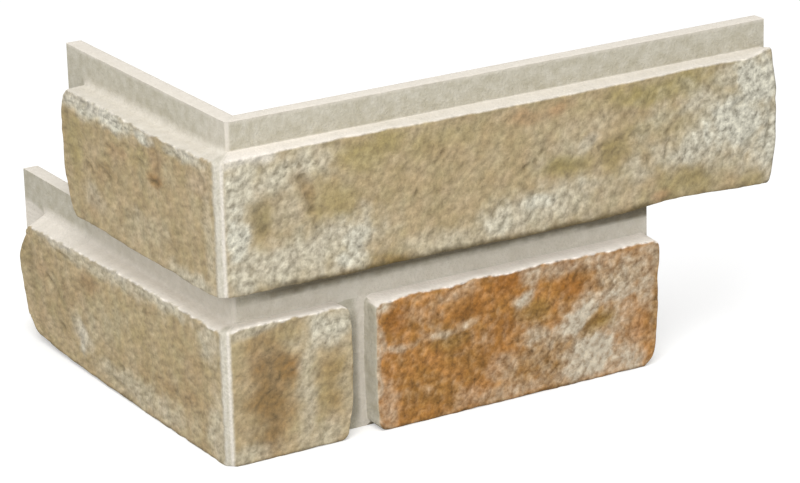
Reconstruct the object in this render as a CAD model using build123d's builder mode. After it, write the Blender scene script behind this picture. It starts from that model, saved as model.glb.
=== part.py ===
"""Corner brick slip: one cast L-shaped panel that faces the outside corner of a wall.

Two courses of brick faces stand out from an L-shaped back plate, whose bare front
makes the mortar joints. The upper course reaches further right than the lower one,
and the lower course reaches further left, so that neighbouring panels interlock.

In plan the brick faces meet at the outer corner. The right leg runs along +X and
faces -Y, the left leg runs along +Y and faces -X. Z is up. The origin lies under the
centre of the panel's box, on the level of its lower edge. Sizes are in millimetres.
"""

import os

from build123d import *

# Courses and bed joints, upwards from the lower edge.
brick_height = 50.5
bed_joint = 13.0
top_joint = 11.0

# Depths, inwards from the brick faces.
relief = 8.5
plate_thickness = 6.5

# Reach of the brick faces from the outer corner, and the upright joints.
upper_right = 240.0
upper_left = 121.5
lower_right = 186.0
lower_left = 167.5
corner_stretch = 51.5
head_joint = 10.0
end_joint = 13.0

# Edges.
corner_chamfer = 3.0
plate_chamfer = 1.2
brick_corner_radius = 4.5
arris_radius = 1.6
cove_radius = 3.0

# Levels and reaches that follow.
upper_bottom = brick_height + bed_joint
upper_top = upper_bottom + brick_height
panel_top = upper_top + top_joint
plate_back = relief + plate_thickness
upper_plate_left = upper_left + end_joint
lower_plate_left = lower_left + end_joint

# Bricks run halfway into the plate, so that faces and plate are one body.
brick_back = relief + plate_thickness / 2

# The outer corner of the brick faces, seen from the origin.
corner_x = -max(upper_right, lower_right) / 2
corner_y = -max(upper_plate_left, lower_plate_left) / 2


def level(height):
    """The horizontal plane at a height, with its own origin at the outer corner."""
    return Plane(origin=(corner_x, corner_y, height))


def angle_points(front, back, right, left, cut):
    """Corners of an L in plan between two depths, its outer corner cut at 45 degrees."""
    return [
        (front + cut, front),
        (right, front),
        (right, back),
        (back, back),
        (back, left),
        (front, left),
        (front, front + cut),
    ]


def plate_course(bottom, top, right, left):
    """The back plate of one course."""
    with BuildPart() as course:
        with BuildSketch(level(bottom)):
            with BuildLine():
                Polyline(angle_points(relief, plate_back, right, left, plate_chamfer), close=True)
            make_face()
        extrude(amount=top - bottom)
    return course.part


def corner_brick(bottom, right, left):
    """A brick that wraps the outer corner, with its arris softened all round."""
    with BuildPart() as brick:
        with BuildSketch(level(bottom)) as outline:
            with BuildLine():
                Polyline(angle_points(0, brick_back, right, left, corner_chamfer), close=True)
            make_face()
            cut_points = outline.vertices().sort_by(lambda point: point.X + point.Y)[:2]
            fillet(cut_points, radius=corner_chamfer / 2)
        extrude(amount=brick_height)
        right_end = brick.faces().sort_by(Axis.X)[-1]
        left_end = brick.faces().sort_by(Axis.Y)[-1]
        end_edges = right_end.edges().filter_by(Axis.Y) + left_end.edges().filter_by(Axis.X)
        fillet(end_edges, radius=brick_corner_radius)
        right_face = brick.faces().filter_by(Axis.Y).sort_by(Axis.Y)[0]
        upper_rim = right_face.edges().filter_by(Axis.X).sort_by(Axis.Z)[-1]
        fillet(upper_rim, radius=arris_radius)
    return brick.part


def straight_brick(bottom, start, end):
    """A brick on the right leg that doesn't reach the corner."""
    with BuildPart() as brick:
        with BuildSketch(level(bottom)):
            with BuildLine():
                Polyline((start, 0), (end, 0), (end, brick_back), (start, brick_back), close=True)
            make_face()
        extrude(amount=brick_height)
        fillet(brick.edges().filter_by(Axis.Y), radius=brick_corner_radius)
        face = brick.faces().sort_by(Axis.Y)[0]
        fillet(face.edges(), radius=arris_radius)
    return brick.part


def cove(height, *route):
    """The hollow curve in which a joint runs out onto the top of a brick."""
    with BuildPart() as strip:
        with BuildLine(level(height)) as run:
            Polyline(*route)
        section_plane = Plane(origin=run.line @ 0, x_dir=(0, -1, 0), z_dir=(-1, 0, 0))
        with BuildSketch(section_plane):
            with BuildLine():
                Line((0, 0), (cove_radius, 0))
                RadiusArc((cove_radius, 0), (0, cove_radius), cove_radius)
                Line((0, cove_radius), (0, 0))
            make_face()
        sweep(path=run.line, transition=Transition.RIGHT)
    return strip.part


def around_corner(right, left):
    """A route along the front of the plate, from the right leg round to the left one."""
    return [
        (right, relief),
        (relief + plate_chamfer, relief),
        (relief, relief + plate_chamfer),
        (relief, left),
    ]


lower_plate = plate_course(0, upper_bottom, lower_right, lower_plate_left)
upper_plate = plate_course(upper_bottom, panel_top, upper_right, upper_plate_left)
lower_corner_brick = corner_brick(0, corner_stretch, lower_left)
lower_side_brick = straight_brick(0, corner_stretch + head_joint, lower_right)
upper_corner_brick = corner_brick(upper_bottom, upper_right, upper_left)

# Coves stop where the bricks' rounded ends begin.
lower_corner_cove = cove(
    brick_height,
    *around_corner(corner_stretch - brick_corner_radius, lower_left - brick_corner_radius),
)
lower_side_cove = cove(
    brick_height,
    (lower_right - brick_corner_radius, relief),
    (corner_stretch + head_joint + brick_corner_radius, relief),
)
upper_cove = cove(
    upper_top,
    *around_corner(upper_right - brick_corner_radius, upper_left - brick_corner_radius),
)

with BuildPart() as corner_slip:
    add(lower_plate)
    add(upper_plate)
    add(lower_corner_brick)
    add(lower_side_brick)
    add(upper_corner_brick)
    add(lower_corner_cove)
    add(lower_side_cove)
    add(upper_cove)

corner_slip.part.label = "corner_slip"

os.makedirs("parts", exist_ok=True)
export_step(corner_slip.part, "parts/corner_slip.step")
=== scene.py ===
# %% [markdown]
# # Corner brick slip
#
# This panel faces the outside corner of a wall. It is cast in one piece: a pale plate bent to an
# L, with the faces of three bricks standing out from it. The bare strips of plate between them
# are the mortar joints. The lesson works the panel out with numpy as one closed surface, paints
# it with pigment and bloom, as the maker does in the mould, adds painted light and shade, and
# sets it under studio light.

# %% Load the fixed frame
import math

import bmesh
import bpy
import numpy as np
from mathutils import Matrix, Vector
from mathutils.geometry import delaunay_2d_cdt


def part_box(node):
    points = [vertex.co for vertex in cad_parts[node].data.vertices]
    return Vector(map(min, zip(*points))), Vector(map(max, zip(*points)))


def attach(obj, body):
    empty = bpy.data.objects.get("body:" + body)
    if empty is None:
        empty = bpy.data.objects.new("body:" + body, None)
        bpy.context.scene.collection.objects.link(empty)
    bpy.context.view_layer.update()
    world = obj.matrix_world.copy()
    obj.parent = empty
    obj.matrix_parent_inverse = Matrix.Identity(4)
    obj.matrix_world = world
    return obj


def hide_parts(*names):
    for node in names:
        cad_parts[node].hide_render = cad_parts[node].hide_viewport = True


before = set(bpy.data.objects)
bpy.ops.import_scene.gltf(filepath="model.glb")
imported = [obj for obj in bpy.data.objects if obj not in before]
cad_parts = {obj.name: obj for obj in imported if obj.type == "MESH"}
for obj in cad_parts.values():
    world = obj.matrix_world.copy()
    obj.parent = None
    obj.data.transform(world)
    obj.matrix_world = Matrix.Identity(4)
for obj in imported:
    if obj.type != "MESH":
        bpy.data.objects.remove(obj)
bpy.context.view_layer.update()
MM = 0.001
node_low, node_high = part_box("corner_slip")
print("panel box in mm", [round(size / MM, 1) for size in node_high - node_low])

# %% [markdown]
# ## One way to say where a point is
#
# The panel is a sheet folded round a corner, so three numbers place a point. The station is the
# distance along the wall from the corner, negative on the left leg. The height is measured from
# the lower edge. The depth runs from the brick faces, at 0, to the flat back of the plate.
# Shapes are drawn on the unfolded sheet, and one function folds them.

# %% Sizes of the panel, in millimetres
outer_corner = np.array(node_low) / MM
panel_length, panel_width, panel_height = (np.array(node_high) - np.array(node_low)) / MM
relief = 8.5
thickness = 15.0
brick_height = 50.5
bed_joint = 13.0
course_split = brick_height + bed_joint
upper_ledge = course_split + brick_height
lower_right_end = 186.0
upper_left_end = -134.5
corner_cut = 3.0
plate_cut = 1.2
mitre_reach = 26.0
print("courses meet at", course_split, "and the top joint starts at", upper_ledge)


# %% Fold the sheet round the corner
def fold(station, depth, height):
    """Points in metres. At each depth the leg is a straight line in plan with its corner cut off.

    The distance along the leg is the station itself far from the corner. Within the mitre
    reach it shrinks evenly, so that the deeper lines, which are shorter, keep as many points.
    """
    reach = np.abs(station)
    part = np.clip(reach / corner_cut, 0, 1)
    run = np.clip((reach - corner_cut) / (mitre_reach - corner_cut), 0, 1)

    def leg_line(setback, cut):
        start = setback + cut
        along_mitre = start + run * (mitre_reach - start)
        along_cut = setback + cut * (1 + part) / 2
        along = np.where(reach < corner_cut, along_cut, np.where(reach < mitre_reach, along_mitre, reach))
        across = setback + cut * (1 - part) / 2
        return along, across

    front, plate, back = leg_line(0, corner_cut), leg_line(relief, plate_cut), leg_line(thickness, 0)
    to_plate = np.clip(depth / relief, 0, 1)
    to_back = np.clip((depth - relief) / (thickness - relief), 0, 1)
    along, across = (f + (p - f) * to_plate + (b - p) * to_back for f, p, b in zip(front, plate, back))
    right = station >= 0
    plan = [np.where(right, along, across), np.where(right, across, along), height]
    return (np.stack(np.broadcast_arrays(*plan), -1) + outer_corner) * MM


print("the right end's lower corner folds to", fold(np.array(lower_right_end), np.array(0.0), 0.0))

# %% [markdown]
# ## Grid lines where the shape turns
#
# An even grid would step over the brick edges, which are as sharp as half a millimetre. So the
# grid has extra lines beside each brick side, and even ones between, closest on the faces.

# %% The three bricks, as outlines on the unfolded sheet
margin = 0.3
upper = dict(left=-121.5, right=panel_length - margin, bottom=course_split + margin, top=upper_ledge)
lower_corner = dict(left=-167.5, right=51.5, bottom=margin, top=brick_height)
lower_side = dict(left=61.5, right=lower_right_end - margin, bottom=margin, top=brick_height)
bricks = [upper, lower_corner, lower_side]
side_lines = np.array([-1.2, -0.5, -0.3, 0.0, 0.15, 0.3, 0.5, 0.8, 1.2, 1.8])
cove_reach = 4.2
in_cove_lines = [-cove_reach, -3.0, -2.1, -1.3, -0.7, -0.3, -0.1]
ledge_lines = np.append(in_cove_lines, side_lines[side_lines >= 0])
soft_edge = 0.3
face_step = 0.81
joint_step = 1.5
print(len(bricks), "bricks, grid lines", face_step, "mm apart on their faces")


# %% Draw the grid lines
def filled(fixed, step):
    """The fixed lines, and evenly spaced lines in each gap that is wider than a step."""
    fixed = np.unique(np.round(fixed, 3))
    fixed = fixed[np.insert(np.diff(fixed) > 0.06, 0, True)]
    gaps = zip(fixed[:-1], fixed[1:])
    runs = [np.linspace(a, b, max(1, math.ceil((b - a) / step)), endpoint=False) for a, b in gaps]
    return np.append(np.concatenate(runs), fixed[-1])


ends = [-panel_width, upper_left_end, lower_right_end, panel_length]
column_marks = [end + inset for end in ends for inset in (-soft_edge, 0, soft_edge)]
row_marks = [0, soft_edge, course_split, panel_height - soft_edge, panel_height]
for brick in bricks:
    column_marks += list(brick["left"] + side_lines) + list(brick["right"] - side_lines)
    row_marks += list(brick["bottom"] + side_lines[side_lines > -0.4]) + list(brick["top"] - ledge_lines)
column_marks += list(np.linspace(-corner_cut, corner_cut, 11)) + [-corner_cut - 0.5, corner_cut + 0.5]
column_marks = [mark for mark in column_marks if -panel_width <= mark <= panel_length]
stations = filled(column_marks, face_step)
bands = [
    # lower end, upper end, spacing
    (0, brick_height + cove_reach, face_step),
    (brick_height + cove_reach, course_split, joint_step),
    (course_split, upper_ledge + cove_reach, face_step),
    (upper_ledge + cove_reach, panel_height, joint_step),
]
rows_in_bands = [filled([mark for mark in row_marks if a <= mark <= b], step) for a, b, step in bands]
heights = np.unique(np.concatenate(rows_in_bands))
grid_s, grid_z = np.meshgrid(stations, heights, indexing="ij")
print(len(stations), "columns and", len(heights), "rows")

# %% [markdown]
# ## Smooth noise
#
# The mould was taken from hand-made bricks, so the faces carry their skin: slow waves, lumps the
# size of a fingertip, and a slanting grain where the clay dragged over sand. Smooth noise at
# those sizes gives the same skin. It is seeded, so the panel is the same each time.

# %% Noise on the unfolded sheet
LATTICE = 256
TURNS = np.random.default_rng(11).uniform(0, 2 * math.pi, (LATTICE, LATTICE))


def noise(u, v):
    """Gradient noise between about -1 and 1, with features one unit across.

    Each point of a square lattice has a random slope. Between the points the four slopes are
    blended with a curve that starts and ends level.
    """
    u0, v0 = np.floor(u).astype(int), np.floor(v).astype(int)
    du, dv = u - u0, v - v0
    ease_u, ease_v = (t * t * t * (t * (t * 6 - 15) + 10) for t in (du, dv))

    def slope(step_u, step_v):
        turn = TURNS[(u0 + step_u) % LATTICE, (v0 + step_v) % LATTICE]
        return np.cos(turn) * (du - step_u) + np.sin(turn) * (dv - step_v)

    low = slope(0, 0) + ease_u * (slope(1, 0) - slope(0, 0))
    high = slope(0, 1) + ease_u * (slope(1, 1) - slope(0, 1))
    return 1.5 * (low + ease_v * (high - low))


def clouds(u, v, size, layers=3, seed=0):
    """Noise of a given size in mm, with smaller and fainter layers of it added on top."""
    total = 0
    for layer in range(layers):
        scale = 2**layer / size
        shift = 37.7 * seed + 11.3 * layer
        total = total + noise(u * scale + shift, v * scale - shift) / 2**layer
    return total / 1.4


def grid_clouds(size, layers, seed):
    """The same at every point of the grid."""
    return clouds(grid_s, grid_z, size, layers, seed)


print("noise at one point:", noise(np.array(0.5), np.array(0.2)).round(2))


# %% Two helpers for shapes on the sheet
def ramp(value, low, high):
    """From 0 at low to 1 at high, with level ends."""
    t = np.clip((value - low) / (high - low), 0, 1)
    return t * t * (3 - 2 * t)


def turned(s, z, centre, degrees=0):
    """Distances from a centre along a slanting line and across it."""
    angle = math.radians(degrees)
    ds, dz = s - centre[0], z - centre[1]
    return ds * math.cos(angle) + dz * math.sin(angle), dz * math.cos(angle) - ds * math.sin(angle)


print("a ramp from 0 to 2 gives", ramp(np.array([0.5, 1.0, 1.5]), 0, 2).round(3))

# %% [markdown]
# ## Side, arris and cove of a brick
#
# A brick's side leans in a little, as it must to leave the mould, and turns over a soft arris
# into the face. The joint above a brick runs out on its top in a hollow cove. All of that is one
# profile: a height that depends on the distance in from the nearest side.

# %% Height of a brick over the plate
lean = 0.3


def brick_profile(inside, cove_radius, arris_radius):
    """Height over the plate by distance inside the side line, which is negative in the joint.

    Outside is a quarter circle that starts level on the plate. Then comes the side, which
    leans in evenly, then a quarter circle that ends level on the face.
    """
    hollow = np.clip(-inside, 0, cove_radius)
    in_cove = cove_radius - np.sqrt(np.maximum(cove_radius**2 - (cove_radius - hollow) ** 2, 0))
    side = cove_radius + np.clip(inside / lean, 0, 1) * (relief - arris_radius - cove_radius)
    over = arris_radius - np.clip(inside - lean, 0, arris_radius)
    on_arris = relief - arris_radius + np.sqrt(np.maximum(arris_radius**2 - over**2, 0))
    return np.where(inside < 0, in_cove, np.where(inside < lean, side, on_arris))


def side_distances(brick):
    """Distances inside the four side lines of a brick."""
    return dict(
        left=grid_s - brick["left"],
        right=brick["right"] - grid_s,
        bottom=grid_z - brick["bottom"],
        top=brick["top"] - grid_z,
    )


sample = brick_profile(np.array([0.0, 0.3, 3.0]), 1.0, 1.3)
print("a brick stands", sample, "mm over the plate at 0, 0.3 and 3 mm inside its side")

# %% Raise the three bricks
raised = np.zeros_like(grid_s)
inside_brick = np.full_like(grid_s, -99.0)
left_leg = 1 - ramp(grid_s, -10, 2)
small_cove = 0.4
for brick in bricks:
    gap = side_distances(brick)
    ends_in = np.minimum(gap["left"], gap["right"])
    inside = np.minimum(ends_in, np.minimum(gap["bottom"], gap["top"]))
    on_ledge = (gap["top"] <= inside + 1e-9) * np.clip((ends_in - 1) / 6, 0, 1)
    cove = 0.4 + 2.0 * left_leg if brick is upper else 1.2 + 1.6 * left_leg
    cove_here = small_cove + (cove - small_cove) * on_ledge
    crisp = 0.5 * (1 - ramp(gap["bottom"], 1, 5)) + 0.5 * (1 - ramp(gap["right"], 1, 5))
    arris_here = np.clip(1.3 + 0.5 * grid_clouds(8, 2, seed=3) - crisp, 0.6, 1.8)
    raised = np.maximum(raised, brick_profile(inside, cove_here, arris_here))
    inside_brick = np.maximum(inside_brick, inside)
print(f"{(raised > relief - 0.05).mean():.0%} of the points reach the full relief")

# %% [markdown]
# ## Worn outlines
#
# No side of the bricks is straight: corners are rounded, ends bulge and lower edges wander. The
# grid itself moves to follow. Near a corner its square rings are bent to arcs, and near a side
# its lines shift by that side's own waviness, while most of the plate behind stays in place.

# %% How far each side line gives way, at stops along it
upper["push"] = dict(
    left=([64, 70, 75, 80, 90, 100, 104, 108, 113], [3, 0.4, -2.2, -4, -3.4, -4.5, -4, -2.5, -0.5]),
    right=([63, 65, 68, 72, 77, 102, 106, 110, 114], [3.2, 2.2, 1.3, 0.4, -0.6, -0.6, 0.4, 1.2, 2]),
    bottom=(
        [-109, -97, -74, -41, -20, 0, 30, 43, 56, 68, 87, 106, 125, 146, 159, 172, 186, 200, 215, 232],
        [-1.2, -0.8, -1.5, -1.1, -1.5, -0.6, -0.6, -1.1, -1.2, -0.8]
        + [-0.9, -1.3, -1.8, -1.5, -1.7, -1.2, 0.1, 0.2, -0.8, -1.6],
    ),
    top=(
        [-107, -83, -61, -40, -29, -12, 5, 72, 89, 110, 150, 195, 211, 228, 238],
        [1.6, 1.4, 2, 2, 1.6, 0.8, -0.2, -0.7, 0, -0.1, 0.2, -0.5, -0.5, 0.2, -2.6],
    ),
)
lower_corner["push"] = dict(
    left=([2, 10, 15, 20, 25, 30, 35, 38, 42, 48], [3, 1.5, 0.2, -1, -2.5, -4, -2.8, -0.2, 2.8, 3.5]),
    right=([0, 5, 10, 20, 40, 46, 50], [2.2, 1.2, 0, -0.8, -1, -0.7, 1]),
    bottom=([-164, -160, -155, -140, -110, -60], [4.8, 4, 2.6, 1.2, 0.2, -0.6]),
    top=(
        [-160, -150, -130, -110, -90, -60, -40, -20, -6, 6, 19, 31, 43],
        [3.2, 2.6, 2.2, 1.3, 0.5, -0.2, -0.5, -0.3, -0.4, -1.2, -1.7, -1.2, -1.2],
    ),
)
lower_side["push"] = dict(
    left=([0, 10, 25, 40, 50], [0.6, 0.2, -0.2, 0.2, 0.4]),
    right=([0, 3, 6, 10, 15, 20, 30, 36, 44, 48], [5, 2.4, 1.4, 1, 0.5, 0.2, -0.3, 0.2, -1, -0.5]),
    bottom=([60, 186], [-0.6, -0.6]),
    top=([68, 80, 93, 106, 119, 132, 159, 186], [0.8, -0.5, 0.4, -0.9, 0.2, -0.5, 0.4, 0.4]),
)
upper["corners"] = dict(left_bottom=4.5, left_top=4, right_bottom=1.8, right_top=1.6)
lower_corner["corners"] = dict(left_bottom=8, left_top=5, right_bottom=3.5, right_top=3)
lower_side["corners"] = dict(left_bottom=4, left_top=3.5, right_bottom=4, right_top=3)


def along_side(place, stops, pushes):
    """A smooth curve through the inward pushes at the stops along a side."""
    blurred = [np.interp(place + step, stops, pushes) for step in (-3, -1.5, 0, 1.5, 3)]
    return sum(blurred) / len(blurred)


print("the left end bulges by", -along_side(100.0, *upper["push"]["left"]).round(1), "mm")


# %% Bend the grid lines round the corners
def rounded(p, q, radius):
    """Square ring lines bent to arcs. p and q are the distances from a corner's two sides.

    The ring at the smaller distance m becomes an arc of radius r = radius - m round the same
    centre, and a point keeps its share of the way along the ring.
    """
    ring = np.minimum(p, q)
    arc = np.maximum(radius - ring, 1e-6)
    part = np.clip((radius - np.maximum(p, q)) / (2 * arc), 0, 0.5)
    turn = math.pi / 2 * np.where(p <= q, part, 1 - part)
    near = (np.maximum(p, q) < radius) & (ring < radius)
    new_p = np.where(near, radius - arc * np.cos(turn), p)
    new_q = np.where(near, radius - arc * np.sin(turn), q)
    return new_p - p, new_q - q


moved_s, moved_z = grid_s.copy(), grid_z.copy()
for brick in bricks:
    room = dict(left=7.0, right=3.5 if brick is lower_corner else margin, bottom=margin, top=5.0)
    gap = side_distances(brick)
    brick["near"] = math.prod(np.clip(1 + gap[side] / room[side], 0, 1) for side in gap)
    for name, radius in brick["corners"].items():
        side, level = name.split("_")
        shift_p, shift_q = rounded(gap[side], gap[level], radius)
        moved_s += brick["near"] * shift_p * (1 if side == "left" else -1)
        moved_z += brick["near"] * shift_q * (1 if level == "bottom" else -1)
print(f"corners bent by up to {np.abs(moved_s - grid_s).max():.2f} mm")

# %% Push the sides in and out
ripple_size = 0.3
inner_reach = 12.0
hair = 0.02
front_share = np.clip(raised / 7, 0, 1)
for number, brick in enumerate(bricks):
    gap = side_distances(brick)
    for place, (side, curve) in enumerate(brick["push"].items()):
        along, moved = (grid_z, moved_s) if side in ("left", "right") else (grid_s, moved_z)
        ripple = ripple_size * clouds(along, np.full_like(along, 5.0), 10, 3, seed=7 * number + place)
        push = along_side(along, *curve)
        # The plate moves along with left sides, and with the upper brick's top on the left leg.
        with_plate = (side == "left") | ((grid_s < 0) & (brick is upper) & (side == "top"))
        push = push * np.where(with_plate, 1, front_share) + ripple * front_share
        push = push * brick["near"] * (1 - ramp(gap[side], 0, inner_reach))
        moved += push * (1 if side in ("left", "bottom") else -1)
moved_z = np.maximum(moved_z, np.minimum(grid_z, hair))
moved_s = np.minimum(moved_s, np.maximum(grid_s, panel_length - hair))
print(f"largest shift along the wall {np.abs(moved_s - grid_s).max():.2f} mm")

# %% [markdown]
# ## Marks in the faces
#
# The clay was torn, pinched and dented before it was fired. Each mark is a short slanting
# hollow, or a swelling where its depth is negative, and all of them are listed one by one.

# %% Tears, pits and dents
marks = [
    # station, height, slant, length, width, depth
    (33, 107, 60, 2.6, 1.6, 0.9), (33.5, 102.3, 20, 4.6, 2, 1.3), (34.5, 99, 90, 3, 1.5, 0.9),
    (35.5, 95.5, 100, 3, 1.6, 1.2), (37, 90, 70, 4, 1.8, 1.2), (38, 85, 50, 2.6, 1.6, 0.7),
    (17, 88, 80, 7, 3.5, 0.9), (15.5, 94, 60, 6, 3, 0.8), (19, 86, 100, 4, 2, 0.6),
    (92, 101, 30, 3.2, 1.6, 1.3), (88.5, 98, 40, 3, 1.4, 0.9), (80.5, 88, 80, 3.6, 1.7, 1.2),
    (127, 89, 15, 3.4, 1.6, 1.4), (131, 90.5, 30, 2.6, 1.4, 1), (133.5, 93.5, 50, 3, 1.4, 0.8),
    (136, 97, 50, 3, 1.3, 0.6), (113, 74, 70, 3.4, 1.8, 1.2), (117, 77, 20, 3.2, 1.6, 1.2),
    (129, 77, 75, 5, 1.2, 0.7), (126.5, 81, 0, 2.6, 1.4, 0.8), (102, 103.5, 0, 3, 1.2, 0.6),
    (181, 82, 88, 6, 1.8, 1.2), (190.5, 87, 62, 5, 1.4, 1.1), (189, 82, 95, 9, 1.1, 0.6),
    (161, 91, 10, 5, 1.6, 0.8), (168, 92.3, 5, 4, 1.4, 0.8), (175, 93.5, 14, 6, 1.2, 0.6),
    (165, 87.5, 22, 12, 5.5, 0.6), (143, 86, 0, 22, 2.5, 0.5), (85, 79, 70, 4, 1.8, 0.8),
    (88, 72, 20, 5, 1.6, 0.6), (190, 91, 35, 4, 1.8, 0.9), (236.4, 87, 78, 20, 1.3, 0.8),
    (222, 96, 30, 9, 2.5, 0.6), (61, 73, 60, 6, 2.5, 0.6), (12, 72, 65, 6, 2, 0.5),
    (26, 92, 35, 16, 5, -0.4), (205, 86, 10, 30, 9, -0.7), (52, 76, 20, 12, 5, -0.6),
    (70, 90, 10, 34, 10, -0.4), (112, 98, 0, 26, 8, -0.3), (18, 25, 84, 40, 9, 0.6),
    (178, 81, 60, 14, 5, -0.6), (153, 94, 40, 7, 3, -0.6), (40, 80, 50, 5, 1.6, 0.7),
    (206, 72, 10, 20, 4, 0.5), (228, 82, 40, 9, 2, 0.8), (214, 103, 15, 9, 1.6, 0.6),
    (42, 24, 88, 22, 5, -0.3), (33, 24, 86, 44, 2.5, -0.4), (68, 40, 80, 10, 3, 0.7),
    (100, 37, 20, 12, 3, 0.7), (118, 27, 40, 10, 4, 0.5), (155, 22, 25, 12, 2.5, 0.9),
    (88, 31, 5, 30, 1.6, -0.5), (150, 27, 30, 44, 4, -0.5), (150, 43, 0, 10, 4, 0.6),
    (-50, 94, 175, 8, 1.4, 1.3), (-48, 103, 100, 12, 3, 0.9), (-90, 87, 160, 10, 1.8, 0.9),
    (-103, 86, 150, 7, 1.6, 0.9), (-104, 111, 25, 8, 1.6, 1), (-85, 98, 170, 8, 1.6, 0.8),
    (-72, 102, 165, 6, 1.4, 0.7), (-60, 99, 170, 7, 1.5, 0.8), (-32, 109, 160, 8, 2, 0.9),
    (-12, 104, 130, 9, 2.2, 0.7), (-70, 76, 20, 16, 3, 0.6), (-40, 73, 165, 12, 2, 0.6),
    (-85, 12, 170, 5, 1.6, 1.2), (-135, 13, 170, 6, 1.8, 1.1), (-145, 30, 160, 6, 1.6, 1),
    (-31, 16, 172, 7, 1.4, 0.8), (-41, 17, 175, 5, 1.4, 0.6), (-22, 14, 165, 5, 1.4, 0.6),
    (-130, 44, 178, 10, 1.4, 0.8), (-138, 26, 150, 16, 2, 0.7), (-90, 5, 178, 14, 1.6, 0.7),
    (-112, 36, 20, 16, 4, 0.6), (-70, 30, 10, 30, 8, -0.4), (-30, 38, 160, 22, 6, -0.4),
    (-160, 32, 90, 20, 4, 0.7), (-112, 14, 60, 14, 4, -0.5), (-118, 100, 80, 10, 2.5, 0.8),
]


def dents():
    """Depth of all marks: each is a bell curve, long one way and narrow the other."""
    total = np.zeros_like(grid_s)
    crooked = 0.5 * grid_clouds(4, 2, seed=9)
    for station, level, degrees, length, width, depth in marks:
        along, across = turned(grid_s, grid_z, (station, level), degrees)
        across = across + width * crooked
        total += depth * np.exp(-((along / (0.5 * length)) ** 4) - (across / (0.6 * width)) ** 2)
    return total


dent_depth = dents()
print(f"{len(marks)} marks, the deepest {dent_depth.max():.2f} mm")

# %% [markdown]
# ## Where the bloom lies
#
# Lime in the cement comes out as a white bloom, and it gathers on the coarse patches. So one
# map drives both: it says where the grain stands up and where the colour goes pale.

# %% Map of the coarse, pale patches
pale_spots = [
    # station, height, half length, half height, turn unless level, strength
    (7, 85, 6, 14, 1), (8, 100, 11, 18, 0.72), (28, 105, 18, 8, 10, 0.58), (12, 72, 16, 9, 0.6),
    (36, 74, 30, 11, 8, 0.58), (55, 75, 9, 8, 60, 0.85), (50, 69, 8, 4, 0.85), (27, 90, 10, 9, 0.26),
    (132, 73, 30, 8, 5, 0.53), (134, 75, 9, 4, 5, 0.8), (116, 72, 9, 7, 20, 0.65),
    (154, 94, 6, 3.5, 24, 0.42), (146, 95, 16, 8, 20, 0.2), (177, 80, 7, 9, 70, 0.37),
    (187, 84, 6, 9, 80, 0.42), (201, 84, 14, 8, 10, 0.72), (223, 90, 20, 14, 1.05),
    (206, 99, 20, 5, 8, 0.52), (95, 67, 24, 5, 0.35), (232, 103, 13, 13, 1.05), (158, 71, 20, 9, 0.2),
    (236, 80, 9, 16, 0.85), (222, 106, 18, 6, 0.5), (215, 90, 34, 20, 0.52), (85, 69, 16, 4, 0.3),
    (33, 20, 4, 30, -4, 0.36), (42, 45, 13, 7, 0.7), (42, 5, 12, 6, 0.28), (49, 26, 3.5, 26, 0.22),
    (6, 4, 14, 4, 0.4), (12, 49, 14, 2.4, 0.5), (62.3, 26, 1.8, 26, 0.5), (64, 48, 5, 3.5, 0.6),
    (64.5, 35, 1.8, 6, 10, 0.5), (72, 30.5, 8, 1.5, 0.45), (89, 32, 9, 1.8, 4, 0.45),
    (101, 33.5, 6, 1.8, 12, 0.4), (84, 42, 12, 8, 10, 0.16), (97, 47, 12, 4, 12, 0.32),
    (128, 47, 5, 5, 60, 0.5), (126, 38, 5, 3.5, 20, 0.85), (131, 23, 8, 4, -10, 0.6),
    (149, 26, 12, 6, 32, 1), (163, 32, 16, 4, 10, 0.7), (157, 12, 11, 10, 20, 1.25), (151, 8, 11, 9, 0.8),
    (172, 6, 12, 7, 0.75), (138, 8, 12, 10, 0.21), (66, 10, 5, 9, 0.3), (102, 6, 7, 3.5, 0.2),
    (184.8, 28, 2, 24, 0.16), (115, 14, 7, 6, 0.42), (174, 40, 17, 9, 15, 0.5), (180, 32, 6, 9, 0.6),
    (156, 46, 24, 4, 0.45), (180, 47, 8, 3, 0.5), (118, 4, 20, 4, 0.35), (138, 18, 18, 14, 0.2),
    (168, 20, 22, 24, 0.36), (107, 24, 10, 6, 0.12), (-106, 109, 16, 5, 0.85), (-82, 110, 17, 4.5, 4, 1),
    (-57, 110, 8, 2.5, 0.9), (-28, 111, 15, 2.8, 0.6), (-22, 65, 22, 4, 0.5), (-60, 75, 20, 6, 10, 0.18),
    (-116, 15, 6, 9, 60, 0.5), (-70, 7, 40, 6, 0.35), (-8, 12, 8, 14, 0.4), (-100, 47, 50, 4, 0.42),
    (-50, 48, 30, 3, 0.5), (-13, 43, 8, 8, 0.45), (-118, 10, 4, 4, 0.6), (-100, 25, 22, 7, 20, 0.2),
    (-8, 84, 4, 24, 0.25), (-100, 75, 9, 5, 0.25), (-15, 104, 9, 6, 0.15),
]


def painted(spots, seed):
    """The strongest soft patch at each point. Each is 1 inside a turned ellipse and 0 outside.

    Slow clouds bend its outline, and finer ones added to the distance from its middle make its
    rim ragged.
    """
    ragged = 0.42 * grid_clouds(8, 4, seed)
    bent_s = grid_s + 2.6 * grid_clouds(14, 2, seed + 40)
    bent_z = grid_z + 1.7 * grid_clouds(14, 2, seed + 41)
    strongest = np.zeros_like(grid_s)
    for station, level, half_long, half_high, *turn, strength in spots:
        along, across = turned(bent_s, bent_z, (station, level), *turn)
        distance = np.hypot(along / half_long, across / half_high)
        strongest = np.maximum(strongest, strength * (1 - ramp(distance + ragged, 0.3, 1.45)))
    return strongest


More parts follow.
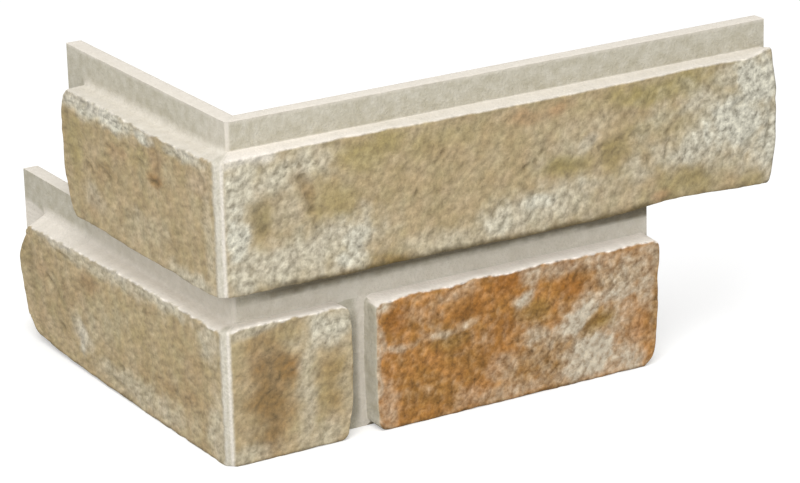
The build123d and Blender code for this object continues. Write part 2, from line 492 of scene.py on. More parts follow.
worn_spots = [
    (16.5, 90, 5, 9, 1), (35, 96, 4, 12, 20, 0.7), (192, 92, 12, 4, 10, 0.7), (181, 82, 3, 5, 0.8),
    (229, 67, 9, 3, 0.9), (196, 70, 22, 5, 0.9), (92, 27, 13, 3.6, 1), (101, 41, 11, 4, 0.9),
    (158, 22, 7, 4, 28, 0.9), (178, 17, 7, 7, 0.9), (130, 33, 8, 4, 0.9), (118, 45, 6, 5, 0.9),
    (148, 40, 8, 5, 0.9), (-30, 30, 20, 12, 0.6), (-150, 32, 16, 12, 0.6), (166, 87, 8, 6, 50, 0.9),
    (144, 86, 12, 3, 0.8), (70, 41, 4, 6, 0.8), (100, 18, 16, 7, 0.7), (184.8, 28, 1.8, 22, 0.7),
]
worn_away = painted(worn_spots, seed=15)
bloom = painted(pale_spots, seed=2) * (1 - worn_away)
thin_veil = 0.03 + 0.13 * grid_clouds(9, 3, seed=4)
orange = (grid_s > 56) & (grid_z < course_split)
speckle = np.where(orange, (0.2 + 0.1 * bloom) * grid_clouds(2.8, 2, seed=14), 0)
thin_veil = (thin_veil + speckle) * np.where(orange, 1 - 0.7 * worn_away, 1)
bloom = np.clip(bloom + thin_veil, 0, 1)
on_brick = ramp(inside_brick, -0.2, 0.8)
bloom *= on_brick
print(f"bloom covers {(bloom[raised > 7] > 0.4).mean():.0%} of the faces")

# %% [markdown]
# ## Cast relief
#
# The skin of the faces sums slow waves, lumps, the grain and the marks, and only goes inwards.
# On the left leg the grain lies nearly level. The outer corner was rubbed smooth, with a fine
# groove down its middle.

# %% Grain of the faces
def slanting_grain(degrees, length, width, seed):
    """Noise whose lumps are drawn out along a slanting line."""
    along, across = turned(grid_s, grid_z, (0, 0), degrees)
    return clouds(along / length, across / width, 1.0, 2, seed)


right_grain = slanting_grain(40, length=3.1, width=2.3, seed=5)
left_grain = slanting_grain(12, length=4.6, width=2.0, seed=17)
grain = np.where(grid_s > 0, right_grain, left_grain)
coarse = np.where(orange, 0.8 + 0.2 * bloom, 0.5 + 0.65 * bloom)
coarse += 0.5 * painted([(18, 30, 14, 26, 1)], seed=31)
print(f"grain swings between {grain.min():.2f} and {grain.max():.2f}")

# %% Depth of every point of the front
waves = grid_clouds(34, 3, seed=1)
lumps = grid_clouds(7.5, 3, seed=6)
wave_depth, lump_depth, grain_depth, dent_share = 0.45, 0.36, 0.85, 0.85
skin = 0.45 + wave_depth * waves + lump_depth * lumps
skin = skin + grain_depth * coarse * grain + dent_share * dent_depth
# A soft floor at 0 keeps the skin from standing out of the face.
skin = 0.5 * (skin + np.sqrt(skin**2 + 0.06))
chips = np.clip(grid_clouds(5, 2, seed=8) - 0.15, 0, 1)
edge_chips = np.where(grid_s > 0, 1.1, 0.5) * chips * np.exp(-((inside_brick / 2.0) ** 2))
skin = skin * ramp(inside_brick, 0.2, 2.4) + edge_chips * (inside_brick > 0.3)
strip = np.abs(grid_s)
groove = 0.13 * np.exp(-(((grid_s + 0.3) / 0.5) ** 2))
strip_skin = groove + 0.1 + 0.12 * np.abs(lumps) + 0.04 * grain
in_strip = 1 - ramp(strip, corner_cut - 1.2, corner_cut + 1.2)
skin = skin + (strip_skin - skin) * in_strip * (inside_brick > 1.2)
sand = 0.10 * grid_clouds(3.0, 2, seed=12) + 0.12 * grid_clouds(22, 2, seed=13)
depth = relief - raised + np.maximum(skin, 0) * on_brick + (sand + 0.12) * (1 - on_brick)
print(f"depths run from {depth.min():.2f} to {depth.max():.2f} mm")

# %% [markdown]
# ## The front sheet
#
# The grid covers a rectangle, but the two courses reach different distances. Only the cells
# inside their stepped outline are kept, and its edge is drawn in by a hair to soften it.

# %% Keep the cells inside the stepped outline
first_upper = int(np.argmin(np.abs(heights - course_split)))
low_start, high_start, low_end, high_end = (int(np.argmin(np.abs(stations - end))) for end in ends)
last_column, last_row = len(stations) - 1, len(heights) - 1
columns, rows = np.meshgrid(np.arange(last_column), np.arange(last_row), indexing="ij")
in_lower = (rows < first_upper) & (columns >= low_start) & (columns < low_end)
in_upper = (rows >= first_upper) & (columns >= high_start) & (columns < high_end)
kept = in_lower | in_upper


def node_number(column, row):
    """The place of a grid node in the flat list of nodes."""
    return column * len(heights) + row


column, row = columns[kept], rows[kept]
corners = [(column, row), (column + 1, row), (column + 1, row + 1), (column, row + 1)]
front_cells = np.stack([node_number(*corner) for corner in corners], -1)
print(len(front_cells), "cells on the front")

# %% Walk round the outline
def walk(*turns):
    """Grid nodes in order along straight grid lines from each turn to the next."""
    path = []
    for (c0, r0), (c1, r1) in zip(turns, turns[1:] + turns[:1]):
        steps = max(abs(c1 - c0), abs(r1 - r0))
        path.append(np.stack([np.linspace(c0, c1, steps + 1), np.linspace(r0, r1, steps + 1)], -1)[:-1])
    return np.rint(np.concatenate(path)).astype(int)


low_turns = (low_start, 0), (low_end, 0), (low_end, first_upper)
high_turns = (high_end, first_upper), (high_end, last_row), (high_start, last_row)
rim = walk(*low_turns, *high_turns, (high_start, first_upper), (low_start, first_upper))
rim_nodes = node_number(rim[:, 0], rim[:, 1])
rim_s, rim_z = stations[rim[:, 0]], heights[rim[:, 1]]
ahead, behind = np.roll(rim, -1, 0), np.roll(rim, 1, 0)
direction = np.sign(ahead - rim) + np.sign(rim - behind)
inward = np.stack([-np.sign(direction[:, 1]), np.sign(direction[:, 0])], -1)
print(len(rim), "nodes round the outline")

# %% [markdown]
# ## Edges and back
#
# The outline is carried back through a few rings to make the plate's edges, with soft arrises.
# The back is flat. Its points are joined by a triangulation that keeps to the outline and to
# the line of the inside corner.

# %% Rings from the front of the plate to its back
half_arc = soft_edge * (1 - math.sqrt(0.5))
edge_bands = relief + 2.2, thickness - 1.6
ring_steps = [(half_arc, relief + half_arc), (0, relief + soft_edge)] + [(0, band) for band in edge_bands]
ring_steps += [(0, thickness - soft_edge), (half_arc, thickness - half_arc), (soft_edge, thickness)]
flat_s, flat_z, flat_depth = moved_s.ravel(), moved_z.ravel(), depth.ravel()
ring_points = []
for inset, ring_depth in ring_steps:
    ring_s, ring_z = rim_s + inset * inward[:, 0], rim_z + inset * inward[:, 1]
    ring_points.append(np.stack([ring_s, np.full(len(rim), ring_depth), ring_z], -1))
flat_s[rim_nodes], flat_depth[rim_nodes], flat_z[rim_nodes] = ring_points[0].T
front_points = np.stack([flat_s, flat_depth, flat_z], -1)
edge_points = np.concatenate(ring_points[1:])
print(len(ring_steps), "rings at depths", [round(step[1], 2) for step in ring_steps])

# %% Triangulate the back
back_step = 5.0
course_gap = 3
far_off = 999.0
leg_stops = [corner_cut, mitre_reach, far_off]
back_stops = [0, mitre_reach - thickness, far_off - thickness]


def slide(place, stops, new_stops):
    """Move places along a leg evenly, so that one list of stops comes to lie on the other."""
    return np.sign(place) * np.interp(np.abs(place), stops, new_stops)


last_s, _, last_z = ring_points[-1].T
outline_flat = np.stack([slide(last_s, leg_stops, back_stops), last_z], -1)
_, first_seen = np.unique(outline_flat.round(4), axis=0, return_index=True)
outline_flat = outline_flat[np.sort(first_seen)]
spread_s = np.arange(-160, 225, back_step)
spread_z = np.arange(back_step, panel_height - 2, back_step)
scatter = np.stack(np.meshgrid(spread_s[np.abs(spread_s) > 1], spread_z, indexing="ij"), -1).reshape(-1, 2)
along_back, up = scatter.T
in_low = (up < course_split - course_gap) & (along_back < lower_right_end - thickness - course_gap)
in_high = (up > course_split + course_gap) & (along_back > upper_left_end + thickness + course_gap)
scatter = scatter[in_low | in_high]
fold_line = np.stack([np.zeros(len(spread_z)), spread_z], -1)
flat_back = np.concatenate([outline_flat, scatter, fold_line])
count = len(outline_flat)
outline_edges = [(n, (n + 1) % count) for n in range(count)]
from_fold = [np.hypot(outline_flat[:, 0], outline_flat[:, 1] - level) for level in (0, panel_height)]
bottom_node, top_node = (int(np.argmin(distances)) for distances in from_fold)
fold_nodes = [bottom_node, *range(len(flat_back) - len(fold_line), len(flat_back)), top_node]
fold_edges = list(zip(fold_nodes[:-1], fold_nodes[1:]))
flat_vectors = [Vector(point) for point in flat_back.tolist()]
solved = delaunay_2d_cdt(flat_vectors, outline_edges + fold_edges, [list(range(count))], 1, 1e-5)
back_flat = np.array([tuple(point) for point in solved[0]])
back_triangles = [tuple(face) for face in solved[2]]
back_s = slide(back_flat[:, 0], back_stops, leg_stops)
back_points = np.stack([back_s, np.full(len(back_s), thickness), back_flat[:, 1]], -1)
print(len(back_points), "points and", len(back_triangles), "triangles on the back")

# %% Join front, edges and back into one closed mesh
def ring_cells(first_ring, next_ring):
    """Quads between two rings of node numbers, facing away from the panel."""
    return np.stack([np.roll(first_ring, -1), first_ring, next_ring, np.roll(next_ring, -1)], -1)


points = np.concatenate([front_points, edge_points, back_points])
rings = [rim_nodes]
rings += [len(front_points) + len(rim) * n + np.arange(len(rim)) for n in range(len(ring_steps) - 1)]
edge_cells = np.concatenate([ring_cells(a, b) for a, b in zip(rings[:-1], rings[1:])])
back_start = len(front_points) + len(edge_points)
cells = np.concatenate([front_cells, edge_cells]).tolist()
cells += [tuple(back_start + n for n in triangle) for triangle in back_triangles]
positions = fold(points[:, 0], points[:, 1], points[:, 2])
mesh = bpy.data.meshes.new("cast_panel")
mesh.from_pydata(positions, [], cells)


def store(name, values):
    """Keep one number at each point of the mesh."""
    layer = mesh.attributes.new(name, "FLOAT", "POINT")
    padded = np.zeros(len(mesh.vertices), np.float32)
    padded[: len(values)] = values
    layer.data.foreach_set("value", padded)


sheet = mesh.attributes.new("sheet", "FLOAT_VECTOR", "POINT")
sheet.data.foreach_set("vector", points.astype(np.float32).ravel())
print(len(mesh.vertices), "points before the loose ones go")

# %% [markdown]
# ## Pigments in the mould
#
# Iron-oxide pigments are dusted into the mould before the pale mix: ochre, red oxide and umber.
# They stay as soft patches with grainy rims, and the mix rubs the arrises and joints bare. Each
# map is one number at each mesh point, which the material reads.

# %% Patches of the pigments
ochre_spots = [
    (62, 107, 14, 6, 6, 0.8), (190, 108, 26, 5, 1.1), (198, 70, 14, 6, 0.7), (229, 66, 8, 3, 0.6),
    (47, 92, 9, 7, 0.6), (166, 88, 8, 5, 30, 0.75), (66, 66, 10, 3, 0.9), (145, 86, 12, 4, 0.9),
    (16.5, 90, 4, 8, 0.5), (38, 89, 3, 8, 0.6), (180, 95, 20, 3, 10, 0.4), (90, 107, 20, 5, 0.4),
    (-113, 92, 6, 12, 0.7), (-85, 30, 24, 10, 0.3), (-60, 100, 14, 4, 0.4), (-36, 34, 22, 9, 0.25),
    (130, 33, 9, 5, 0.6), (158, 22, 8, 5, 25, 0.9), (93, 28, 8, 3, 0.6), (44, 24, 6, 11, 0.5),
    (195, 92, 12, 5, 10, 0.3),
]
rust_spots = [
    (126, 108.5, 9, 3.5, 0.5), (142, 109, 6, 3, 0.6), (186, 67, 4, 2, 0.6), (-48, 102, 5, 9, 0.45),
    (-15, 104, 8, 5, 0.15), (-101, 69, 6, 3, 0.1), (-104, 81, 8, 4, 0.1), (-78, 98, 9, 3, 0.35),
    (-150, 34, 7, 6, 0.2), (-110, 38, 10, 4, 0.4), (-26, 30, 12, 8, 0.25), (70, 42, 5, 7, 0.85),
    (118, 46, 10, 5, 0.9), (103, 40, 8, 4, 0.8), (64, 20, 4, 18, 0.3), (177, 17, 7, 7, 0.25),
    (110, 22, 20, 9, 0.4), (142, 47, 10, 3, 0.6), (148, 39, 8, 5, 0.7), (119, 29, 5, 5, 0.6),
]
umber_spots = [
    (18, 27, 10, 22, 0.75), (24, 31, 7, 9, 0.8), (19, 10, 6, 14, 0.7), (44, 24, 6, 13, 0.4),
    (86, 11, 15, 7, 0.35), (94, 30, 9, 5, 0.6), (184.5, 28, 2.2, 22, 0.7), (100, 20, 12, 7, 0.4),
    (166, 87, 9, 5, 20, 0.15), (-90, 86, 14, 5, 0.25), (-122, 30, 14, 6, 0.2),
    (35.5, 97, 2.2, 12, 12, 0.4), (68, 65.5, 14, 2.4, 0.5), (-40, 17, 26, 4, 0.3),
    (-49, 94.5, 6, 2.5, 0.7), (129, 33, 7, 4, 0.6), (134, 13, 20, 12, 0.6), (98, 42, 8, 4, 0.25),
    (170, 39, 16, 7, 0.55), (184.5, 42, 2, 8, 0.6),
]
ochre = painted(ochre_spots, seed=21) * on_brick
rust = painted(rust_spots, seed=22) * on_brick
umber = painted(umber_spots, seed=23) * on_brick
drift = grid_clouds(7, 4, seed=27)
blush_spots = [
    (67, 9, 5, 8, 0.45), (102, 6, 8, 4, 0.4), (177, 15, 5, 6, 0.6), (90, 44, 14, 4, 0.3),
    (115, 14, 7, 5, 0.5), (-116, 14, 6, 7, 0.5), (-155, 12, 7, 6, 0.4), (-15, 104, 9, 7, 0.5),
    (-100, 74, 9, 5, 0.4), (154, 95, 7, 4, 24, 0.4),
]
blush = np.maximum(np.clip(0.55 * drift, 0, 0.3), painted(blush_spots, seed=35))
blush *= on_brick * (1 - 0.8 * painted([(20, 28, 18, 26, 1)], seed=34))
moss = np.clip(-0.55 * drift, 0, 0.3) * on_brick
print(f"ochre on {(ochre > 0.4).mean():.1%} of the front")

# %% Where the faces are tinted, where they are rubbed bare, and where painted light lightens ledges and joints
tint, rubbed = np.zeros_like(grid_s), np.zeros_like(grid_s)
ledge_clouds = grid_clouds(6, 3, seed=26)
fray = 0.9 * grid_clouds(5, 3, seed=24)
# Ledges are painted lighter, partly as bare wear and partly as painted light from above, with one strength
# for each brick and leg.
painted_ledge_lights = [(0.8 - 0.18 * ramp(grid_s, 30, 90), 0.46), (0.8, 0.75), (0.95, 0.75)]
for brick, (right_light, left_light) in zip(bricks, painted_ledge_lights):
    gap = side_distances(brick)
    wider = -0.1 if brick is lower_side else 0.3
    hidden_sides = np.minimum(np.minimum(gap["left"] + wider, gap["right"] + 0.3), gap["bottom"] + 0.4)
    ragged = np.where(grid_s > 0, 0.2 if brick is upper else 0.8, 1.1) * ramp(raised, 7.1, 7.7)
    below_rim = gap["top"] - 0.35 + ragged * fray
    edge = np.minimum(hidden_sides + 0.3 * fray, below_rim)
    tint = np.maximum(tint, ramp(edge, 0.1, 0.8))
    inside = np.minimum(np.minimum(gap["left"], gap["right"]), gap["bottom"])
    ledge = (1 - ramp(below_rim, 0.2, 1.2)) * (inside > 0)
    ledge *= np.where(grid_s > 0, ramp(gap["top"], -0.5, 0.0), ramp(gap["top"], -3.4, 0.2))
    bright = np.where(grid_s > 0, right_light, left_light)
    rubbed = np.maximum(rubbed, ledge * bright * (0.94 + 0.16 * ledge_clouds))
# Painted light lifts the shade in the joints: under the corner brick near the corner, beside the orange
# brick's side, along the left joint and at the corner brick's left end.
low_joint = (1 - ramp(grid_z + 0.4 * fray, 55.5, 58.6)) * ramp(grid_s, -4, 4) * ramp(grid_z, 50.2, 50.6)
by_the_side = ramp(grid_s, 56.5, 59.6) * (1 - ramp(grid_s, 61.2, 61.6)) * (grid_z < brick_height + 1)
left_joint = (0.28 + 0.14 * ramp(grid_s, -110, -60)) * (grid_s < 0) * (1 - 0.5 * ramp(grid_s, -4, 0))
left_joint *= ramp(grid_s, -132, -112) * (grid_z > 48)
left_end = ramp(grid_z, 36, 40) * (1 - ramp(grid_z, 50.4, 52.4)) * (1 - ramp(grid_s, -168, -164))
in_joint = np.maximum.reduce([0.34 * low_joint, 0.5 * by_the_side, left_joint, 0.6 * left_end])
rubbed = np.maximum(rubbed, in_joint * (inside_brick < 0.35) * (grid_z < course_split))
print(f"tint covers {(tint > 0.5).mean():.0%} of the front")

# %% The rubbed outer corner, with a painted highlight and a painted shade line down its groove
wander = clouds(np.full_like(grid_s, 3.0), grid_z, 9, 3, seed=25)
from_left_side = ramp(grid_s + 0.7 * fray, -5.6, -2.4)
from_right_side = 1 - ramp(grid_s + 0.3 * wander, 1.2, 3.2)
in_corner = from_left_side * from_right_side * (inside_brick > 0)
tint *= 1 - in_corner
# The bare corner strip is painted lighter, partly as wear and partly as a painted highlight, brightest
# towards the right leg, with a darker painted shade line along its groove.
groove_shade_line = 1 - 0.5 * np.exp(-(((grid_s + 0.6 + 0.3 * wander) / 0.5) ** 2))
corner_wear_and_highlight = (0.16 + 0.36 * ramp(grid_s, -0.5, 0.7)) * groove_shade_line
corner_wear_and_highlight += 0.12 * clouds(grid_s / 0.8, grid_z / 9, 1.0, 2, seed=30)
plate_corner = (1 - ramp(strip + 0.5 * wander, 1.4, 4.6)) * (inside_brick < -0.6)
# Painted light also lifts the left plate near the corner.
near_corner = ramp(grid_s, -45, -6) * (grid_s < 0) * (grid_z > upper_ledge + 0.5) * (inside_brick < -0.3)
bare_spots = [
    (11, 113.5, 15, 3.6, 0.9), (-100, 112, 26, 4.5, 0.6), (-57, 113, 9, 2.5, 0.5),
    (-26, 113, 14, 2.5, 0.5), (-134, 50, 22, 3, 0.6), (-85, 50, 18, 2.5, 0.5), (-45, 50, 16, 2.2, 0.4),
    (-117, 14, 4, 6, 0.35),
]
bare_patch = painted(bare_spots, seed=33) * (inside_brick > 0)
tint *= 1 - bare_patch
# The top rim is painted lighter as painted light from above.
top_rim = ramp(grid_z, panel_height - 0.5, panel_height - 0.1)
wear_and_painted_lights = [rubbed * (1 - in_corner), in_corner * corner_wear_and_highlight, 0.5 * plate_corner, 0.2 * near_corner]
rubbed = np.maximum.reduce([*wear_and_painted_lights, 0.45 * bare_patch, 0.6 * top_rim])
print(f"the corner is bare from station {grid_s[in_corner > 0.5].min():.1f}")

# %% Painted shade under the upper brick, at the feet of the others and in the joints
# This whole map is painted shade: a dark line on the upper brick's lower arris and on the plate just below
# it, the feet of the lower bricks, the upright joint beside the small brick, the upper brick's right end,
# the far left joint and a hollow on the upper face.
by_leg = np.where(grid_s > 0, 0.3 + 0.7 * ramp(grid_s, 4, 36), 0.2)
over_course = 1 - 0.45 * ramp(grid_s, 178, 188)
gap = side_distances(upper)
low_arris = (1 - ramp(gap["bottom"] + 0.9 * fray, 0.8, 2.8)) * (gap["bottom"] > -0.2)
low_arris *= (gap["left"] > 0) * by_leg * over_course
in_joints = inside_brick < -0.2
lower_here = 0.45 * np.exp(-(((grid_s - 30) / 16) ** 2)) + 0.7 * ramp(grid_s, 150, 165)
on_plate = ramp(grid_z + 0.6 * fray + lower_here, 56.9, 58.8) * (grid_z < course_split)
on_plate *= in_joints * by_leg * (grid_s > -118)
far_plate = (1 - ramp(grid_s, -140, -128)) * in_joints * (grid_z > 48)
painted_shades = [0.8 * low_arris, 0.74 * on_plate, 0.08 * far_plate]
for brick in (lower_corner, lower_side):
    gap = side_distances(brick)
    foot = (1 - ramp(gap["bottom"] + 0.5 * fray, 0.6, 1.8)) * (gap["left"] > 0) * (gap["right"] > 0)
    painted_shades.append(0.55 * foot)
upright = (1 - ramp(grid_s + 0.3 * fray, 58.0, 59.6)) * (grid_s > 52) * ramp(grid_z, 1, 6)
upright *= (1 - ramp(grid_z, 40, 47)) * in_joints
right_end = (1 - ramp(upper["right"] - grid_s + 0.6 * fray, 0.3, 1.8)) * (grid_z > course_split)
grey_patch = painted([(22, 91, 13, 8, 1)], seed=37) * on_brick
painted_shades += [0.3 * upright, 0.42 * right_end * (inside_brick > 0.2), 0.1 * grey_patch]
outside_corner = 1 - in_corner
grime = np.maximum.reduce(painted_shades) * outside_corner
maps = dict(grain=grain * (on_brick * outside_corner), bloom=bloom * outside_corner)
maps.update(blush=blush, moss=moss, ochre=ochre, rust=rust, umber=umber)
maps.update(pits=np.clip(0.9 * dent_depth, 0, 1) * on_brick, tint=tint, rubbed=rubbed, grime=grime)
# The upward faces of the edge rings carry the same painted light from above.
tops_of_edges = {"rubbed": np.tile(0.6 * (inward[:, 1] < 0), len(ring_steps) - 1)}
for name, values in maps.items():
    store(name, np.concatenate([values.ravel(), tops_of_edges.get(name, [])]))
print("maps on the mesh:", list(maps))

# %% Weld, face outwards and shade
cell_materials = np.zeros(len(mesh.polygons), np.int32)
middle = (inside_brick[columns, rows] > 0.3) & (inside_brick[columns + 1, rows + 1] > 0.3)
cell_materials[: len(front_cells)] = np.where(middle, np.where(orange[columns, rows], 2, 1), 0)[kept]
mesh.polygons.foreach_set("material_index", cell_materials)
work = bmesh.new()
work.from_mesh(mesh)
loose = [vertex for vertex in work.verts if not vertex.link_faces]
bmesh.ops.delete(work, geom=loose, context="VERTS")
bmesh.ops.remove_doubles(work, verts=work.verts, dist=2e-6)
bmesh.ops.recalc_face_normals(work, faces=work.faces)
open_edges = sum(1 for edge in work.edges if len(edge.link_faces) != 2)
volume = work.calc_volume(signed=True)
triangle_count = sum(len(face.verts) - 2 for face in work.faces)
work.to_mesh(mesh)
work.free()
mesh.shade_smooth()
mesh.set_sharp_from_angle(angle=math.radians(60))


def placed(name, data):
    """A new object, in the scene."""
    item = bpy.data.objects.new(name, data)
    bpy.context.scene.collection.objects.link(item)
    return item


panel = placed("cast_panel", mesh)
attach(panel, "root")
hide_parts("corner_slip")
print(f"{triangle_count} triangles, {open_edges} open edges, volume {volume * 1e6:.1f} ml")

# %% [markdown]
# ## Cast concrete, bare and pigmented
#
# The panel is white cement with fine pale sand, cast against rubber: bare, it is a matt, warm
# grey like fine sandpaper. On the faces iron oxides colour that skin, and lime bloom lies on
# their high grains. The colour also carries painted light on the high grains and painted shade
# in the hollows and dents, over the grain's real shadows. One function builds all three
# finishes, because only their pigments differ.

# %% A helper for nodes, and the colours of the batches
def linear(hex_colour):
    """An sRGB hex colour as linear values with full opacity."""
    channels = [int(hex_colour[n : n + 2], 16) / 255 for n in (1, 3, 5)]
    curved = [c / 12.92 if c <= 0.04045 else ((c + 0.055) / 1.055) ** 2.4 for c in channels]
    return (*curved, 1.0)


def add_node(tree, kind, inputs=None, **settings):
    """A shader node with its settings. An input is a value or the output that feeds it."""
    new = tree.nodes.new("ShaderNode" + kind)
    for setting, value in settings.items():
        setattr(new, setting, value)
    for name, value in (inputs or {}).items():
        if isinstance(value, bpy.types.NodeSocket):
            tree.links.new(value, new.inputs[name])
        else:
            new.inputs[name].default_value = value
    return new


# The darkest bare colour is the painted shade under the bricks and in the joints.
bare_colours = dict(bare="#b6b09d", bare_light="#c8c3b4", rubbed="#f4ece2", grime="#473913")
# The darkest colour of each face batch is the painted shade in the dents.
tan_colours = dict(dark="#a3906a", light="#b4a17d", pale="#c8c4b3", pit_shade="#6f6244")
tan_pigments = dict(blush="#b49b7a", moss="#a69b73", ochre="#9f8f5e", rust="#a6825c", umber="#8b6836")
orange_colours = dict(dark="#986a2e", light="#b17b39", pale="#c5baa5", pit_shade="#6a4a22")
orange_pigments = dict(blush="#c08c5a", moss="#98753a", ochre="#96783c", rust="#97611f", umber="#896731")
print(len(tan_pigments), "pigments in the tan faces")


# %% The finish of cast concrete
noise_fields = dict(
    # size in mm, detail, two levels of noise, and what the lower becomes. The upper becomes 1.
    # Sand grains are about half a millimetre, and are drawn twice as coarse so that they show.
    sand=(1.1, 2.0, 0.3, 0.7, -1.0),
    # Cloudy batches of pigment are about a thumb wide.
    cloud=(14, 3.0, 0.35, 0.65, 0.0),
    mottle=(4, 4.0, 0.32, 0.68, 0.0),
)


def cast_concrete(name, colours, pigments, harsh, contrast, in_bloom):
    """Concrete of one batch: bare where the tint map is 0, and coloured where it is 1.

    Roughness is the grain map plus sand noise, both about -1 to 1. It frays the pigments,
    breaks up the bloom by the share harsh, and paints light on high grains and shade in hollows:
    by the share contrast, which grows to in_bloom where the bloom is thick.
    """
    material = bpy.data.materials.new(name)
    material.use_nodes = True
    tree = material.node_tree
    tree.nodes.clear()
    paints = {paint: linear(colour) for paint, colour in (colours | pigments).items()}
    layers = {}
    for layer in maps:
        layers[layer] = add_node(tree, "Attribute", attribute_name=layer).outputs["Fac"]
    where = add_node(tree, "Attribute", attribute_name="sheet").outputs["Vector"]
    for field, (size, detail, low, high, start) in noise_fields.items():
        blobs = add_node(tree, "TexNoise", {"Vector": where, "Scale": 1 / size, "Detail": detail})
        stretch = {"Value": blobs.outputs[0], "From Min": low, "From Max": high, "To Min": start}
        layers[field] = add_node(tree, "MapRange", stretch).outputs[0]

    # Each line makes its first name, as the second times the third plus the fourth.
    sums = [
        ("rough", "sand", 0.3, "grain"),
        ("frayed", "rough", 0.3, 1.0),
        ("reach", "bloom", harsh, 0.15 * harsh),
        ("broken_bloom", "rough", "reach", "bloom"),
        # Painted shade in the dents' hollows.
        ("pit_shade", "pits", 0.6, 0.0),
        ("swing", "bloom", in_bloom - contrast, contrast),
        ("swing", "umber", 0.22, "swing"),
        # Painted light on high grains and painted shade in the grain's hollows.
        ("painted_grain_light", "rough", "swing", 1.0),
    ]
    sums += [(pigment + "_cover", pigment, "frayed", 0.0) for pigment in pigments]
    for made, *terms in sums:
        inputs = {place: layers.get(term, term) for place, term in enumerate(terms)}
        layers[made] = add_node(tree, "Math", inputs, operation="MULTIPLY_ADD").outputs[0]

    # Each line makes its first name. The second says where, over the third, the fourth goes.
    coats = [("face", "cloud", "dark", "light")]
    coats += [("face", pigment + "_cover", "face", pigment) for pigment in pigments]
    coats += [
        ("face", "broken_bloom", "face", "pale"),
        ("face", "pit_shade", "face", "pit_shade"),
        ("plain", "mottle", "bare", "bare_light"),
        ("plain", "rubbed", "plain", "rubbed"),
        ("whole", "tint", "plain", "face"),
        # Painted shade is laid over all, last.
        ("whole", "grime", "whole", "grime"),
    ]
    for made, spread, under, over in coats:
        blend = {0: layers[spread], 6: paints[under], 7: paints[over]}
        paints[made] = add_node(tree, "Mix", blend, data_type="RGBA").outputs[2]
    lit = {"Vector": paints["whole"], "Scale": layers["painted_grain_light"]}
    grained = add_node(tree, "VectorMath", lit, operation="SCALE")
    bump_inputs = {"Height": layers["sand"], "Strength": 0.5, "Distance": 0.00018}
    bump = add_node(tree, "Bump", bump_inputs)
    surface = {"Base Color": grained.outputs[0], "Roughness": 0.92, "IOR": 1.5, "Normal": bump.outputs[0]}
    shader = add_node(tree, "BsdfPrincipled", surface)
    add_node(tree, "OutputMaterial", {"Surface": shader.outputs[0]})
    return material


tan_batch, orange_batch = bare_colours | tan_colours, bare_colours | orange_colours
finishes = [
    # name, colours, pigments, harsh, contrast, in_bloom
    cast_concrete("bare_cast_concrete", tan_batch, {}, 0.3, 0.09, 0.3),
    cast_concrete("sand_tinted_concrete", tan_batch, tan_pigments, 0.25, 0.38, 0.7),
    cast_concrete("orange_tinted_concrete", orange_batch, orange_pigments, 0.45, 0.62, 0.42),
]
for finish in finishes:
    panel.data.materials.append(finish)
print("finishes:", panel.data.materials.keys())

# %% [markdown]
# ## Studio
#
# A white floor, a soft white dome and two large soft lights high on the camera's left. The
# floor and the dome look white to the camera, and the floor still shows the panel's shadow.

# %% Floor and dome
floor_mesh = bpy.data.meshes.new("studio_floor")
floor_half = 4.0
floor_corners = [(x * floor_half, y * floor_half, 0) for x, y in ((-1, -1), (1, -1), (1, 1), (-1, 1))]
floor_mesh.from_pydata(floor_corners, [], [(0, 1, 2, 3)])
floor = placed("studio_floor", floor_mesh)
paper = bpy.data.materials.new("white_paper_floor")
paper.use_nodes = True
paper_tree = paper.node_tree
paper_tree.nodes.clear()
white = (1, 1, 1, 1)
seen = add_node(paper_tree, "LightPath").outputs
to_camera = {0: seen["Is Camera Ray"], 1: 0.35}
lift_amount = add_node(paper_tree, "Math", to_camera, operation="MULTIPLY").outputs[0]
lift_white = add_node(paper_tree, "Emission", {"Color": white, "Strength": lift_amount})
matt = add_node(paper_tree, "BsdfDiffuse", {"Color": linear("#e6e6e6")})
lifted_paper = add_node(paper_tree, "AddShader", {0: matt.outputs[0], 1: lift_white.outputs[0]})
add_node(paper_tree, "OutputMaterial", {"Surface": lifted_paper.outputs[0]})
floor.data.materials.append(paper)

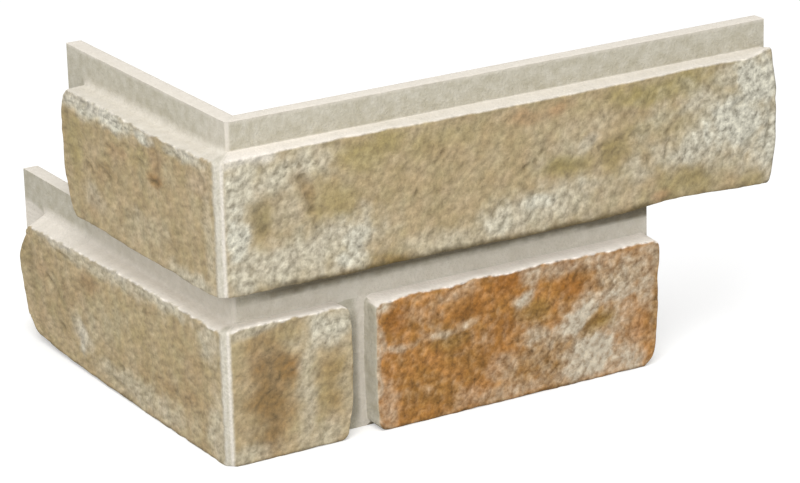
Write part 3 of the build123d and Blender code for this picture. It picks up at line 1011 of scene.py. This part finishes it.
world = bpy.data.worlds.new("soft_dome")
bpy.context.scene.world = world
world.use_nodes = True
dome_tree = world.node_tree
dome_tree.nodes.clear()
dome_seen = add_node(dome_tree, "LightPath").outputs
dome_level = 0.60
direct_rays = {0: dome_seen["Is Camera Ray"], 1: dome_seen["Is Glossy Ray"]}
direct = add_node(dome_tree, "Math", direct_rays, operation="MAXIMUM").outputs[0]
levels = {"Value": direct, "To Min": dome_level, "To Max": 1.0}
strength = add_node(dome_tree, "MapRange", levels).outputs[0]
sky = add_node(dome_tree, "Background", {"Color": white, "Strength": strength})
add_node(dome_tree, "OutputWorld", {"Surface": sky.outputs[0]})
print("dome at", dome_level, "of white")


# %% Two large soft lights
def toward(azimuth, elevation):
    """A unit vector away from the object, by degrees round it and degrees above it."""
    turn, rise = math.radians(azimuth), math.radians(elevation)
    return Vector((math.sin(turn) * math.cos(rise), -math.cos(turn) * math.cos(rise), math.sin(rise)))


def soft_light(name, azimuth, elevation, distance, size, power):
    """A square light panel that looks at the object."""
    light = bpy.data.lights.new(name, "AREA")
    light.shape = "SQUARE"
    light.size = size
    light.energy = power
    lamp = placed(name, light)
    away = toward(azimuth, elevation)
    lamp.location = distance * away
    lamp.rotation_euler = away.to_track_quat("Z", "Y").to_euler()
    return lamp


key = soft_light("key", azimuth=-42, elevation=36, distance=1.8, size=0.9, power=11.2)
soft_light("top_light", azimuth=-36, elevation=65, distance=1.5, size=0.8, power=6.8)
print("key light at", [round(v, 2) for v in key.location])

# %% [markdown]
# ## Camera
#
# The lens is long, about 158 mm on a full frame, so the legs keep their true shape. The camera
# stands to the left of the long face, a little above it, and leans by a degree and a half.

# %% Camera at the photograph's angle
camera_data = bpy.data.cameras.new("camera")
camera_data.sensor_width = 36.0
camera_data.lens = 157.69
camera = placed("camera", camera_data)
view_azimuth, view_elevation, view_roll = -30.588, 18.892, math.radians(-1.445)
backward = toward(view_azimuth, view_elevation)
rightward = toward(view_azimuth + 90, 0)
upward = backward.cross(rightward)
leaning_right = math.cos(view_roll) * rightward + math.sin(view_roll) * upward
leaning_up = math.cos(view_roll) * upward - math.sin(view_roll) * rightward
looked_at = Vector((-0.05315, -0.09993, 0.07511))
camera_distance = 1.2431
turn_matrix = Matrix((leaning_right, leaning_up, backward)).transposed().to_4x4()
camera.matrix_world = Matrix.Translation(looked_at + camera_distance * backward) @ turn_matrix
bpy.context.scene.camera = camera
bpy.context.scene.view_settings.view_transform = "Standard"
print("camera stands at", [round(v, 3) for v in camera.location])
